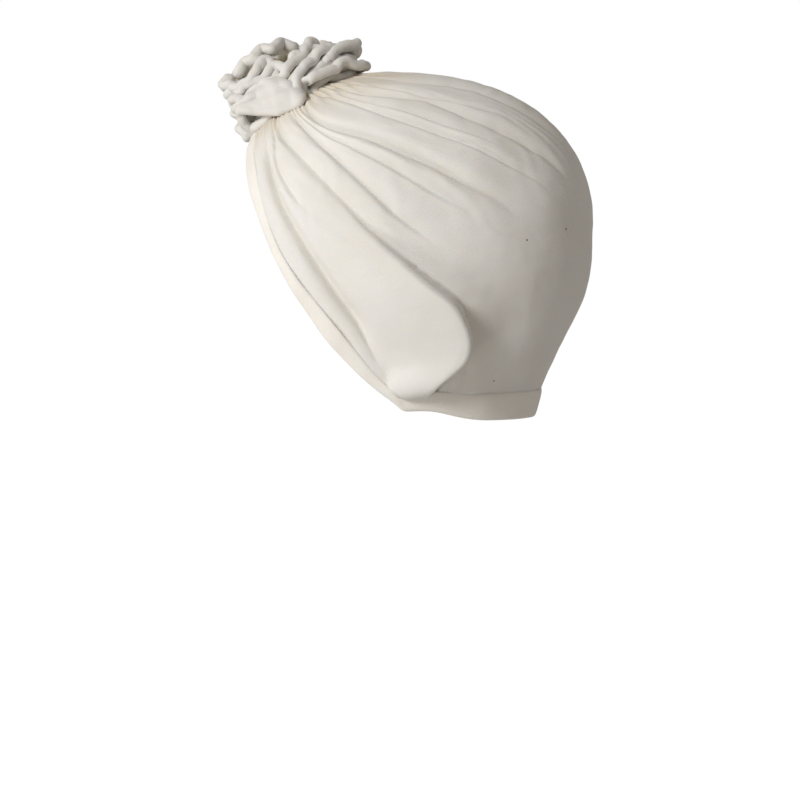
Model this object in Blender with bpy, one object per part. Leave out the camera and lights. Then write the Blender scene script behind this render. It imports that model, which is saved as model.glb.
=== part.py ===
"""A soft jersey turban cap with a ruffled rosette over its front gathers.

+Z is up, the wearer faces -Y and the wearer's left is +X. The origin is where the
inside of the crown rests on top of the head. Places on the cloth are given as seen
from CENTRE, as a bearing (0 is the front, 90 the wearer's left, 180 the back) and a
rise above the level of CENTRE, both in degrees.
"""

from collections import namedtuple

import bmesh
import bpy
import numpy as np

MM = 0.001

# The form that the cloth is stretched to: level slices under a dome.
CENTRE = np.array([0.0, 0.0, -72 * MM])
DOME_HEIGHT = 73.4 * MM
SLICE_POWER = 2.25
DOME_POWER = 2.2
# level, front, back, half width, in mm
LEVELS = (
    (-205, 70, 58, 50),
    (-165, 74, 64.5, 56),
    (-150, 76, 68, 60.5),
    (-135, 78, 75.4, 65),
    (-120, 80, 82.6, 68.6),
    (-105, 82, 88.3, 71),
    (-90, 83, 91.6, 72.4),
    (-72, 83, 92.2, 73),
)

# The lines of the folds, from the gathered seam at the front to the hem.
# name, rise at the seam, then bearing and rise at a quarter, a half, three quarters
# and the hem, then depth in mm, reach as a share of the line, and softness
FOLDS = (
    ("edge", 32, 28, 15, 45, -12, 63, -38, 90, -54.9, 0.0, 1.0, 0.5),
    ("seam", 35, 31, 20, 47, -7, 68, -31, 90, -53, 0.0, 1.0, 0.5),
    ("fold_1", 38, 35, 25, 53, -3, 73, -30, 94, -52.6, 3.0, 1.0, 0.5),
    ("fold_2", 41, 38, 26, 62, 0, 88, -27, 103, -51.5, 2.6, 0.5, 0.5),
    ("fold_3", 44, 43, 26, 75, 0, 109, -24, 112, -51.1, 4.2, 0.9, 0.3),
    ("fold_4", 47, 50, 31, 86, 4, 119, -22, 128, -50.7, 4.2, 0.7, 0.3),
    ("fold_5", 50, 56, 33, 103, 12, 134, -18, 141, -49.9, 2.4, 0.64, 0.5),
    ("fold_6", 53, 62, 36, 112, 16, 142, -17, 152, -49.4, 3.4, 0.68, 0.4),
    ("fold_7", 56, 75, 44, 128, 20, 153, -14, 161, -49.2, 3.0, 0.68, 0.4),
    ("fold_8", 59, 87, 51, 141, 26, 161, -12, 169, -49.2, 4.0, 0.78, 0.3),
    ("fold_9", 62, 99, 55, 150, 27, 166, -11, 173, -49.2, 2.2, 0.6, 0.5),
    ("fold_10", 64, 116, 59, 158, 26, 173, -12, 177, -49.2, 2.4, 0.62, 0.5),
    ("middle", 66, 180, 67, 180, 25, 180, -13, 180, -49.2, 0.0, 1.0, 0.5),
)
SEAM_ROW = 1
MIDDLE_ROW = len(FOLDS) - 1
FOLD_FULL_FROM = 0.07
FOLD_FADE_FROM = 0.72

# The cloth over the ears: how far it stands off, between which fold rows, and where
# along them it begins, is full, starts to close and how much is left at the hem.
EAR_HEIGHT = 14 * MM
EAR_FRONT_ROW, EAR_RIM_ROW, EAR_BEHIND_ROW = 1.6, 3.5, 4.1
EAR_BEGIN, EAR_FULL, EAR_CLOSE = 0.36, 0.80, 0.88
EAR_AT_HEM = 0.12
# How many rows its rim curls forward by the hem, and where along that begins.
EAR_CURL, EAR_CURL_FROM = 1.7, 0.90

# The hollow behind the ear, where the cloth spans down from the back of the head.
HOLLOW_DEPTH = 3.5 * MM
HOLLOW_BEARING, HOLLOW_RISE = 132.0, -38.0
HOLLOW_SPREAD = 13.0

WALL = 1.4 * MM
SPOKE_STEPS = 22
COLUMNS_PER_FOLD = 3

# The band: its gap to the crown, its thickness, how far its face stands out from the
# crown's, how far it reaches below the hem in degrees, and the sides of its section.
# It deepens below the ears, between two bearings.
GAP = 0.4 * MM
BAND_THICKNESS = 2.6 * MM
BAND_PROUD = 0.9 * MM
BAND_DROP_SIDE, BAND_DROP_BACK = 2.2, 5.2
BAND_SIDE_BEARING, BAND_BACK_BEARING = 84, 122
BAND_SIDES = 8
BAND_SQUARENESS = 4.0

# The rosette: its place at the front of the form, and its rows of ruffle, outside
# first. Reaches are from its centre and heights above the form, in mm.
ROSETTE_RISE = 48.6
RUFFLE_THICKNESS = 2.4 * MM
RUFFLE_STEPS = 3
STEPS_PER_WAVE = 6
WAVE_STRETCH = 0.3
# Front, side and rear are the reaches of the free edge there.
Ruffle = namedtuple(
    "Ruffle",
    "name waves depth base knee_share knee_height front front_height side side_height rear rear_height",
)
RUFFLES = (
    Ruffle("outer", 11, 2.8, 14.0, 0.45, 9, 28, 6, 33, 5.5, 40, 5.5),
    Ruffle("second", 11, 3.4, 10.0, 0.40, 15, 28, 14, 28, 14.5, 38, 15),
    Ruffle("third", 9, 3.2, 6.2, 0.35, 18, 24, 28, 20, 25, 25, 22.5),
    Ruffle("heart", 6, 2.2, 2.6, 0.40, 16, 7, 29, 9, 29, 12, 29),
)

CREAM = (0.82, 0.79, 0.72, 1.0)
BAND_CREAM = (0.79, 0.75, 0.68, 1.0)
RUFFLE_CREAM = (0.84, 0.81, 0.73, 1.0)
MIRROR = np.array([-1.0, 1.0, 1.0])


def ease(value, begin, end):
    """Goes from 0 at begin to 1 at end, level at both."""
    share = np.clip((value - begin) / (end - begin), 0.0, 1.0)
    return share * share * (3 - 2 * share)


def unit(vectors):
    return vectors / np.linalg.norm(vectors, axis=-1, keepdims=True)


def curve_through(rows, place, before, after):
    """The smooth curve through equally spaced rows, at place 0 to len(rows) - 1."""
    rows = np.concatenate([before[None], rows, after[None]])
    index = np.clip(np.floor(place).astype(int), 0, len(rows) - 4)
    share = np.reshape(place - index, np.shape(place) + (1,) * (rows.ndim - 1))
    a, b, c, d = (rows[index + step] for step in range(4))
    bend = 2 * a - 5 * b + 4 * c - d
    twist = 3 * b - a - 3 * c + d
    return 0.5 * (2 * b + (c - a) * share + bend * share**2 + twist * share**3)


def direction(bearing, rise):
    bearing, rise = np.radians(bearing), np.radians(rise)
    level = np.cos(rise)
    return np.stack([np.sin(bearing) * level, -np.cos(bearing) * level, np.sin(rise)], -1)


def bearing_and_rise(directions):
    x, y, z = np.moveaxis(directions, -1, 0)
    return np.degrees(np.arctan2(np.abs(x), -y)), np.degrees(np.arcsin(z))


def level_sizes(height):
    """Front, back and half width of the form at a height, smooth between the levels."""
    table = np.array(LEVELS) * MM
    slopes = np.gradient(table[:, 1:], table[:, 0], axis=0)
    index = np.clip(np.searchsorted(table[:, 0], height) - 1, 0, len(table) - 2)
    step = (table[index + 1, 0] - table[index, 0])[..., None]
    share = (height - table[index, 0])[..., None] / step
    change = table[index + 1, 1:] - table[index, 1:]
    start = slopes[index] * step - change
    stop = change - slopes[index + 1] * step
    bulge = share * (1 - share) * ((1 - share) * start + share * stop)
    return np.moveaxis(table[index, 1:] + change * share + bulge, -1, 0)


def form_value(points):
    """Below 1 inside the form, 1 on it and above 1 outside."""
    x, y, z = np.moveaxis(points, -1, 0)
    above = np.maximum(z - CENTRE[2], 0.0) / DOME_HEIGHT
    front, back, half_width = level_sizes(np.clip(z, LEVELS[0][0] * MM, CENTRE[2]))
    length = np.where(y < 0, front, back)
    level = np.abs(x / half_width) ** SLICE_POWER + np.abs(y / length) ** SLICE_POWER
    return (level ** (DOME_POWER / SLICE_POWER) + above**DOME_POWER) ** (1 / DOME_POWER)


def reach_form(start, way, farthest=0.2):
    """How far the form's surface lies along a way from a start inside it."""
    low = np.zeros(start.shape[:-1])
    high = np.full(start.shape[:-1], farthest)
    for _ in range(36):
        middle = (low + high) / 2
        inside = form_value(start + way * middle[..., None]) < 1
        low = np.where(inside, middle, low)
        high = np.where(inside, high, middle)
    return low[..., None]


def on_form(directions):
    return CENTRE + directions * reach_form(CENTRE + 0 * directions, directions)


def form_normal(points):
    """The way out of the form, from the slope of its value."""
    step = 0.05 * MM
    slopes = [form_value(points + step * axis) - form_value(points - step * axis) for axis in np.eye(3)]
    return unit(np.stack(slopes, -1))


def cloth_directions(across, along):
    """Directions at places across the fold rows and at shares along them."""
    table = np.array([row[1:10] for row in FOLDS], float)
    bearings = np.column_stack([np.zeros(len(FOLDS)), table[:, 1::2]])
    rises = np.column_stack([table[:, 0], table[:, 2::2]])
    stations = np.moveaxis(direction(bearings, rises), 0, 1)
    beyond = 2 * stations[-1] - stations[-2]
    beyond[:, 2] = stations[-1, :, 2]
    spokes = curve_through(stations, along * (len(stations) - 1), stations[1] * MIRROR, beyond)
    spokes = np.moveaxis(spokes, 1, 0)
    return unit(curve_through(spokes, across, 2 * spokes[0] - spokes[1], spokes[-2] * MIRROR))


def fold_fall(across, along):
    """How far the cloth sinks into the folds, 0 on the crests between them."""
    depth, reach, softness = (np.array(column)[:, None] for column in list(zip(*FOLDS))[10:])
    index = np.clip(np.floor(across).astype(int), 0, MIDDLE_ROW - 1)
    share = (across - index)[:, None]
    fall = 0.0
    for row, distance in ((index, share), (index + 1, 1 - share)):
        near = np.clip(1 - 2 * distance, 0.0, 1.0)
        section = near**2 + softness[row] * (ease(near, 0, 1) - near**2)
        left = 1 - ease(along, FOLD_FADE_FROM * reach[row], reach[row])
        fall = fall + depth[row] * left * section
    return fall * ease(along, 0.0, FOLD_FULL_FROM) * MM


def ear_lift(across, along):
    """How far the cloth stands off the form over the ear."""
    place = across[:, None] + EAR_CURL * ease(along, EAR_CURL_FROM, 1.0)
    over = ease(place, EAR_FRONT_ROW, EAR_RIM_ROW) * (1 - ease(place, EAR_RIM_ROW, EAR_BEHIND_ROW))
    closed = 1 - (1 - EAR_AT_HEM) * ease(along, EAR_CLOSE, 1.0)
    return EAR_HEIGHT * over * ease(along, EAR_BEGIN, EAR_FULL) * closed


def hollow_fall(directions):
    bearing, rise = bearing_and_rise(directions)
    away = (bearing - HOLLOW_BEARING) ** 2 + (rise - HOLLOW_RISE) ** 2
    return HOLLOW_DEPTH * np.exp(-away / HOLLOW_SPREAD**2)


def smooth_cloth(across, along):
    """The left half's outside without its folds."""
    directions = cloth_directions(across, along)
    points = on_form(directions)
    lift = ear_lift(across, along) - hollow_fall(directions)
    return points + form_normal(points) * lift[..., None]


def whole_grid(columns, rows):
    """Vertex numbers for both halves, which share the gathers and the middle line."""
    left = np.arange(columns * rows).reshape(columns, rows)
    right = left.size + np.arange((columns - 1) * (rows - 1)).reshape(columns - 1, rows - 1)
    right = np.column_stack([left[:-1, 0], right])
    return np.concatenate([left, right[::-1]])


def whole_values(half, mirror):
    """The left half's values, then the right half's own ones."""
    width = half.shape[-1]
    return np.concatenate([half.reshape(-1, width), half[:-1, 1:].reshape(-1, width) * mirror])


def grid_faces(grid):
    """Four-sided faces over a grid of vertex numbers, which face out."""
    corners = (grid[:-1, :-1], grid[:-1, 1:], grid[1:, 1:], grid[1:, :-1])
    return np.stack(corners, -1).reshape(-1, 4)


def vertex_normals(points, faces):
    mesh = bpy.data.meshes.new("normals")
    mesh.from_pydata(points.tolist(), [], faces.tolist())
    normals = np.array([vertex.normal[:] for vertex in mesh.vertices])
    bpy.data.meshes.remove(mesh)
    return normals


def crown_wall():
    """Points and faces of the crown: one wall with its folds, open at the face and below."""
    across = np.linspace(SEAM_ROW, MIDDLE_ROW, (MIDDLE_ROW - SEAM_ROW) * COLUMNS_PER_FOLD + 1)
    along = np.linspace(0, 1, SPOKE_STEPS + 1)
    grid = whole_grid(len(across), len(along))
    faces = grid_faces(grid)
    smooth = whole_values(smooth_cloth(across, along), MIRROR)
    normals = vertex_normals(smooth, faces)
    fall = fold_fall(across, along)
    outer = smooth - normals * whole_values(fall[..., None], 1)
    inner = outer - normals * WALL
    rim = np.concatenate([grid[0, :-1], grid[:-1, -1], grid[-1, :0:-1]])
    after = np.roll(rim, -1)
    rim_faces = np.stack([rim, rim + len(outer), after + len(outer), after], -1)
    inner_faces = faces[:, ::-1] + len(outer)
    return np.concatenate([outer, inner]), np.concatenate([faces, inner_faces, rim_faces])


def opening_lines():
    """Stations round the opening: the crown's rim, and the band's outer edge."""
    along = np.linspace(0, 1, SPOKE_STEPS + 1)
    front = smooth_cloth(np.array([0.0, SEAM_ROW]), along)
    across = np.linspace(SEAM_ROW, MIDDLE_ROW, (MIDDLE_ROW - SEAM_ROW) * COLUMNS_PER_FOLD + 1)[1::2]
    hem = smooth_cloth(across, np.array([1.0]))[:, 0]
    bearing, rise = bearing_and_rise(unit(hem - CENTRE))
    deeper = ease(bearing, BAND_SIDE_BEARING, BAND_BACK_BEARING)
    drop = BAND_DROP_SIDE + (BAND_DROP_BACK - BAND_DROP_SIDE) * deeper
    low = on_form(direction(bearing, rise - drop))
    rim = np.concatenate([front[1], hem])
    edge = np.concatenate([front[0], low])
    rim = np.concatenate([rim, rim[-2:0:-1] * MIRROR])
    edge = np.concatenate([edge, edge[-2:0:-1] * MIRROR])
    return rim, edge


def section_ring(sides, squareness):
    """A rounded oblong section, from -0.5 to 0.5 both ways."""
    angle = (np.arange(sides) + 0.5) * 2 * np.pi / sides
    cosine, sine = np.cos(angle), np.sin(angle)
    size = (np.abs(cosine) ** squareness + np.abs(sine) ** squareness) ** (-1 / squareness)
    return np.column_stack([cosine, sine]) * size[:, None] / 2


def ring_faces(stations, sides):
    """Four-sided faces of a closed tube with a ring of sides at every station."""
    station, side = np.meshgrid(np.arange(stations), np.arange(sides), indexing="ij")
    next_station, next_side = (station + 1) % stations, (side + 1) % sides
    corners = ((station, side), (station, next_side), (next_station, next_side), (next_station, side))
    return np.stack([place * sides + turn for place, turn in corners], -1).reshape(-1, 4)


def band_loop():
    """Points and faces of the flat band round the opening."""
    rim, edge = opening_lines()
    width = np.linalg.norm(edge - rim, axis=-1, keepdims=True)
    across = (edge - rim) / width
    out = form_normal((rim + edge) / 2)
    middle = rim + across * (GAP + width) / 2 + out * (BAND_PROUD - BAND_THICKNESS / 2)
    ring = section_ring(BAND_SIDES, BAND_SQUARENESS)
    points = middle[:, None] + across[:, None] * (width - GAP)[:, None] * ring[None, :, :1]
    points = points + out[:, None] * BAND_THICKNESS * ring[None, :, 1:]
    return points.reshape(-1, 3), ring_faces(len(middle), BAND_SIDES)


def rosette_point(angle, reach, height):
    """A point above the form, out from the rosette's centre: 0 is ahead, 90 is left."""
    centre = on_form(direction(np.array([0.0]), np.array([ROSETTE_RISE])))
    axis = form_normal(centre)
    left = np.array([[1.0, 0.0, 0.0]])
    back = np.cross(axis, left)
    reach, height = np.broadcast_to(reach, angle.shape), np.broadcast_to(height, angle.shape)
    flat = centre + reach[:, None] * (left * np.sin(angle)[:, None] - back * np.cos(angle)[:, None])
    start = flat - axis * DOME_HEIGHT
    return start + axis * (reach_form(start, axis + 0 * start) + height[:, None])


def wave_angles(stations):
    """Angles whose waves are longer on the wearer's left and shorter on the right."""
    angle = np.linspace(0, 2 * np.pi, 721)
    phase = angle + WAVE_STRETCH * (np.cos(angle) - 1)
    wanted = np.arange(stations) * 2 * np.pi / stations
    return np.interp(wanted, phase, angle), wanted


def ring_normals(sheet):
    """Normals of a sheet that closes round its first axis, towards its middle."""
    round_way = np.roll(sheet, -1, 0) - np.roll(sheet, 1, 0)
    return unit(np.cross(np.gradient(sheet, axis=1), round_way))


def ruffle_middle(row):
    """The waved middle of one row of ruffle: its stations round by its steps up."""
    angle, phase = wave_angles(row.waves * STEPS_PER_WAVE)
    ahead = np.maximum(np.cos(angle), 0) ** 2
    beside = np.sin(angle) ** 2
    behind = np.maximum(-np.cos(angle), 0) ** 2
    reach = ahead * row.front + beside * row.side + behind * row.rear
    height = ahead * row.front_height + beside * row.side_height + behind * row.rear_height
    knee_out = row.knee_share * (reach - row.base)
    knee_reach = row.base + knee_out
    lean = knee_out / np.hypot(knee_out, row.knee_height)
    base = rosette_point(angle, row.base * MM, GAP + lean * RUFFLE_THICKNESS / 2)
    knee = rosette_point(angle, knee_reach * MM, row.knee_height * MM)
    edge = rosette_point(angle, reach * MM, height * MM)
    up = np.linspace(0, 1, RUFFLE_STEPS + 1)[:, None]
    sheet = (1 - up) ** 2 * base[:, None] + 2 * up * (1 - up) * knee[:, None] + up**2 * edge[:, None]
    wave = row.depth * MM * np.sin(row.waves * phase)[:, None, None] * up**1.3
    return sheet + ring_normals(sheet) * wave


def ruffle_ring(row):
    """Points and faces of one row of doubled ruffle, with its folded edge outwards."""
    middle = ruffle_middle(row)
    half = ring_normals(middle) * RUFFLE_THICKNESS / 2
    fold = middle[:, -1:] + unit(middle[:, -1:] - middle[:, -2:-1]) * RUFFLE_THICKNESS / 2
    section = np.concatenate([middle - half, fold, (middle + half)[:, ::-1]], axis=1)
    return section.reshape(-1, 3), ring_faces(*section.shape[:2])


def cloth_material(name, colour):
    material = bpy.data.materials.new(name)
    material.use_nodes = True
    shader = material.node_tree.nodes["Principled BSDF"]
    shader.inputs["Base Color"].default_value = colour
    shader.inputs["Roughness"].default_value = 0.9
    shader.inputs["Metallic"].default_value = 0.0
    return material


def add_piece(name, shape, material):
    """One named object, its faces turned out and shaded smooth."""
    points, faces = shape
    mesh = bpy.data.meshes.new(name)
    mesh.from_pydata(points.tolist(), [], faces.tolist())
    body = bmesh.new()
    body.from_mesh(mesh)
    bmesh.ops.recalc_face_normals(body, faces=body.faces)
    body.to_mesh(mesh)
    body.free()
    mesh.shade_smooth()
    mesh.materials.append(material)
    bpy.context.scene.collection.objects.link(bpy.data.objects.new(name, mesh))


def main():
    for old in list(bpy.data.objects):
        bpy.data.objects.remove(old)
    add_piece("crown", crown_wall(), cloth_material("crown_jersey", CREAM))
    add_piece("edge_band", band_loop(), cloth_material("band_jersey", BAND_CREAM))
    ruffle_jersey = cloth_material("ruffle_jersey", RUFFLE_CREAM)
    for row in RUFFLES:
        add_piece("ruffle_" + row.name, ruffle_ring(row), ruffle_jersey)


main()
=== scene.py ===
"""Looks of a stretch-jersey turban cap with a ruffled rosette.

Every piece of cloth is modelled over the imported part: the crown with its folds, the
band round the opening and the rows of ruffle. Lengths are in metres, or in
millimetres where a table says so. +Z is up, the wearer faces -Y and the wearer's left
is +X. A bearing is 0 at the front, 90 at the wearer's left and 180 at the back, and a
rise is the angle above the level of CENTRE, both in degrees.
"""

from collections import namedtuple

import bmesh
import bpy
import numpy as np
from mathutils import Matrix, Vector


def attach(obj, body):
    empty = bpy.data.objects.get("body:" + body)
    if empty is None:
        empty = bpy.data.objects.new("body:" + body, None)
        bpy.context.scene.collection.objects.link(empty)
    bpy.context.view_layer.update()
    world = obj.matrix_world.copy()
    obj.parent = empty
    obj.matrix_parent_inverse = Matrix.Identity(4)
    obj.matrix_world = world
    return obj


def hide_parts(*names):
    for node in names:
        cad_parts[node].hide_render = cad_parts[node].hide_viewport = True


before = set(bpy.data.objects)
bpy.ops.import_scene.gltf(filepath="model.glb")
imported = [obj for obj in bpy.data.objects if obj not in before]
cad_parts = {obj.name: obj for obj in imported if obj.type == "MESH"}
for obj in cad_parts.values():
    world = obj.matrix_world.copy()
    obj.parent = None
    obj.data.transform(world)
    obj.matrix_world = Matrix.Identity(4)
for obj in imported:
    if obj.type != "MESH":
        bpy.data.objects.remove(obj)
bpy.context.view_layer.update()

MM = 0.001
BODY = "root"

# The form that the cloth is stretched to: the part's own, with its top 1.5 mm lower.
CENTRE = np.array([0.0, 0.0, -72 * MM])
DOME_HEIGHT = 71.9 * MM
SLICE_POWER = 2.25
DOME_POWER = 2.2
# level, front, back, half width, in mm
LEVELS = (
    (-205, 70, 58, 50),
    (-165, 74, 64.5, 56),
    (-150, 76, 68, 60.5),
    (-135, 78, 75.4, 65),
    (-120, 80, 82.6, 68.6),
    (-105, 82, 88.3, 71),
    (-90, 83, 91.6, 72.4),
    (-72, 83, 92.2, 73),
)

# The lines of the folds, from the gathered seam at the front to the hem.
# name, rise at the seam, then bearing and rise at a quarter, a half, three quarters
# and the hem
FOLD_LINES = (
    ("edge", 32, 28, 15, 45, -12, 63, -38, 90, -54.9),
    ("seam", 35, 31, 19.5, 46.5, -8.5, 66, -33.5, 90, -53),
    ("fold_1", 38, 35, 25, 53, -3, 73, -30, 94, -52.6),
    ("fold_2", 41, 38, 26, 62, 0, 88, -27, 103, -51.5),
    ("fold_3", 44, 43, 26, 75, 0, 109, -24, 112, -51.1),
    ("fold_4", 47, 50, 31, 86, 4, 119, -22, 128, -50.7),
    ("fold_5", 50, 56, 33, 103, 12, 134, -18, 141, -49.9),
    ("fold_6", 53, 62, 36, 112, 16, 142, -17, 152, -49.4),
    ("fold_7", 56, 75, 44, 128, 20, 153, -14, 161, -49.2),
    ("fold_8", 59, 87, 51, 141, 26, 161, -12, 169, -49.2),
    ("fold_9", 62, 99, 55, 150, 27, 166, -11, 173, -49.2),
    ("fold_10", 64, 116, 59, 158, 26, 173, -12, 177, -49.2),
    ("middle", 66, 180, 67, 180, 25, 180, -13, 180, -49.2),
)
SEAM_ROW = 1
MIDDLE_ROW = len(FOLD_LINES) - 1

# The creases of the crown, from the brow to the crest of the back. Each lies at a
# place across the fold lines, 1 at the edge band and 12 in the middle of the back, at
# every tenth of the way from the gathers to the hem. It begins, is full, starts to fade
# and ends at shares of that way. Its front side drops over a short width and its back
# side comes up again over a long one, and a wide valley may run with it, all in mm.
Crease = namedtuple("Crease", "name places begin full fade end depth front back valley")
CREASES = (
    Crease("brow", (2, 2, 1.95, 1.62, 1.73, 1.9, 1.88, 1.82, 1.85, 1.7, 1.4),
           0.16, 0.34, 0.72, 0.92, 2.9, 1.7, 6, 2.0),
    Crease("temple", (3, 3.4, 3.4, 2.35, 2.6, 3.0, 3.0, 3.0, 3.1, 3.0, 1.95),
           0.13, 0.22, 0.36, 0.50, 1.6, 2.0, 9, 0.5),
    Crease("ear", (4, 4.05, 4.1, 4.25, 4.26, 4.18, 3.98, 3.88, 4.12, 4.24, 3.0),
           0.06, 0.22, 0.44, 0.60, 1.3, 1.7, 10, 1.0),
    Crease("side_a", (5, 5.2, 5.25, 5.18, 5.1, 5.04, 5.05, 5.1, 5.1, 5.05, 5),
           0.10, 0.24, 0.46, 0.66, 1.7, 1.6, 9, 0.8),
    Crease("side_b", (6, 5.95, 5.95, 5.92, 5.84, 5.83, 6.05, 6.1, 6.1, 6.05, 6),
           0.18, 0.32, 0.44, 0.60, 1.0, 1.0, 6, 0.3),
    Crease("side_c", (7, 6.65, 6.5, 6.97, 6.86, 6.85, 7.2, 7.3, 7.2, 7, 7),
           0.10, 0.28, 0.46, 0.64, 1.8, 2.6, 10, 1.5),
    Crease("top_a", (8, 7.6, 7.9, 7.96, 7.9, 8.0, 8.35, 8.4, 8.2, 8, 8),
           0.06, 0.18, 0.42, 0.62, 1.9, 1.1, 5, 0.3),
    Crease("top_b", (8.8, 8.0, 8.2, 8.38, 8.25, 8.4, 8.75, 8.8, 8.9, 8.9, 8.9),
           0.12, 0.24, 0.34, 0.50, 1.0, 0.9, 5, 0.0),
    Crease("top_c", (9.5, 8.5, 8.8, 9.38, 8.87, 8.85, 9.3, 9.6, 9.7, 9.7, 9.7),
           0.08, 0.22, 0.44, 0.64, 2.0, 1.8, 9, 1.4),
    Crease("top_d", (10.2, 9.1, 9.75, 9.85, 9.8, 10, 10.2, 10.4, 10.5, 10.5, 10.5),
           0.06, 0.18, 0.28, 0.46, 1.4, 2.0, 9, 0.4),
    Crease("crest", (11.1, 11, 11, 11.2, 11.1, 11.1, 11.2, 11.3, 11.3, 11.3, 11.3),
           0.06, 0.20, 0.36, 0.58, 1.6, 1.6, 9, 0.6),
)
EAR_CREASE = CREASES[2]
# A valley's half width in rows. The lip in front of a crease is a share of its depth,
# and lies and spreads by so many times the crease's front width.
VALLEY_SHARE = 0.3
LIP, LIP_PLACE, LIP_SPREAD = 0.16, 2.0, 1.1
BACK_CURVE = 1.5
# The widest that a crease may be, in front and behind, as shares of its row, and the
# row width from which it is full.
FRONT_SHARE, BACK_SHARE = 0.2, 0.5
FULL_ROW = 7 * MM

WALL = 1.3 * MM
# Columns from crease to crease, how much they crowd there, steps along a column, and
# steps from row to row of the dense grid that the columns are read from.
COLUMNS_PER_CREASE = 12
CROWDING = 0.45
STEPS_ALONG = 144
DENSE_STEPS = 40

# The cloth over the ears: its height, and the row where it leaves the head in front.
# From there to the crease behind it starts, crests and rolls over at shares of the
# width. It begins, is full and closes at shares of the way to the hem, where a share of
# its height is left and its front curls forward by some rows.
EAR_HEIGHT = 15.5 * MM
EAR_FRONT_ROW = 1.85
EAR_START, EAR_CREST, EAR_ROLL = 0.14, 0.92, 0.87
EAR_BEGIN, EAR_FULL, EAR_CLOSE = 0.42, 0.84, 0.86
EAR_AT_HEM = 0.16
EAR_CURL, EAR_CURL_FROM = 1.7, 0.90
RIM_ROUNDNESS, END_ROUNDNESS = 2.6, 2.2
# How much further the cloth over the ear runs at the hem, and across which rows.
OVERHANG, OVERHANG_FROM = 0.02, 0.82
OVERHANG_ROWS = (0.9, 1.6, 3.2, 4.4)
# The shallow hollow behind the ear, in degrees, which runs out slowly to the back.
HOLLOW_DEPTH = 3.2 * MM
HOLLOW_BEARING, HOLLOW_RISE = 132.0, -41.0
HOLLOW_SPREAD, HOLLOW_SPREAD_BACK = 12.0, 34.0


def ease(value, begin, end):
    """Goes from 0 at begin to 1 at end, level at both."""
    share = np.clip((value - begin) / (end - begin), 0.0, 1.0)
    return share * share * (3 - 2 * share)


def swell(value, begin, full, fade, end):
    """Goes from 0 up to 1 between begin and full, and back to 0 from fade to end."""
    return ease(value, begin, full) * (1 - ease(value, fade, end))


FALL_POWER = 0.6


def rounded_fall(share, roundness):
    """Goes from 1 to 0 as the share goes from 0 to 1, slowly at first."""
    return (1 - share**roundness) ** FALL_POWER


def unit(vectors):
    """Vectors of length 1 along the same ways."""
    return vectors / np.linalg.norm(vectors, axis=-1, keepdims=True)


def curve_through(rows, place, before, after):
    """The smooth curve through equally spaced rows, at place 0 to len(rows) - 1."""
    rows = np.concatenate([np.array(before)[None], rows, np.array(after)[None]])
    index = np.clip(np.floor(place).astype(int), 0, len(rows) - 4)
    share = np.reshape(place - index, np.shape(place) + (1,) * (rows.ndim - 1))
    a, b, c, d = (rows[index + step] for step in range(4))
    bend = 2 * a - 5 * b + 4 * c - d
    twist = 3 * b - a - 3 * c + d
    return 0.5 * (2 * b + (c - a) * share + bend * share**2 + twist * share**3)


def direction(bearing, rise):
    """Ways out from the centre, from bearings and rises in degrees."""
    bearing, rise = np.radians(bearing), np.radians(rise)
    level = np.cos(rise)
    return np.stack([np.sin(bearing) * level, -np.cos(bearing) * level, np.sin(rise)], -1)


def bearing_and_rise(directions):
    """Bearings, from 0 to 180 on either side, and rises of ways out, in degrees."""
    x, y, z = np.moveaxis(directions, -1, 0)
    return np.degrees(np.arctan2(np.abs(x), -y)), np.degrees(np.arcsin(z))


def level_sizes(height):
    """Front, back and half width of the form at a height, smooth between the levels."""
    table = np.array(LEVELS) * MM
    slopes = np.gradient(table[:, 1:], table[:, 0], axis=0)
    index = np.clip(np.searchsorted(table[:, 0], height) - 1, 0, len(table) - 2)
    step = (table[index + 1, 0] - table[index, 0])[..., None]
    share = (height - table[index, 0])[..., None] / step
    change = table[index + 1, 1:] - table[index, 1:]
    start = slopes[index] * step - change
    stop = change - slopes[index + 1] * step
    bulge = share * (1 - share) * ((1 - share) * start + share * stop)
    return np.moveaxis(table[index, 1:] + change * share + bulge, -1, 0)


def form_value(points):
    """Below 1 inside the form, 1 on it and above 1 outside."""
    x, y, z = np.moveaxis(points, -1, 0)
    above = np.maximum(z - CENTRE[2], 0.0) / DOME_HEIGHT
    front, back, half_width = level_sizes(np.clip(z, LEVELS[0][0] * MM, CENTRE[2]))
    length = np.where(y < 0, front, back)
    level = np.abs(x / half_width) ** SLICE_POWER + np.abs(y / length) ** SLICE_POWER
    return (level ** (DOME_POWER / SLICE_POWER) + above**DOME_POWER) ** (1 / DOME_POWER)


FARTHEST = 0.2
HALVINGS = 32
SLOPE_STEP = 0.05 * MM


def reach_form(start, way):
    """How far the form's surface lies along a way from a start inside it."""
    low = np.zeros(start.shape[:-1])
    high = np.full(start.shape[:-1], FARTHEST)
    for _ in range(HALVINGS):
        middle = (low + high) / 2
        inside = form_value(start + way * middle[..., None]) < 1
        low = np.where(inside, middle, low)
        high = np.where(inside, high, middle)
    return low[..., None]


def on_form(directions):
    """Points of the form's surface, out from its centre."""
    return CENTRE + directions * reach_form(CENTRE + 0 * directions, directions)


def form_normal(points):
    """The way out of the form, from the slope of its value."""
    steps = SLOPE_STEP * np.eye(3)
    slopes = [form_value(points + step) - form_value(points - step) for step in steps]
    return unit(np.stack(slopes, -1))


MIRROR = np.array([-1.0, 1.0, 1.0])


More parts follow.
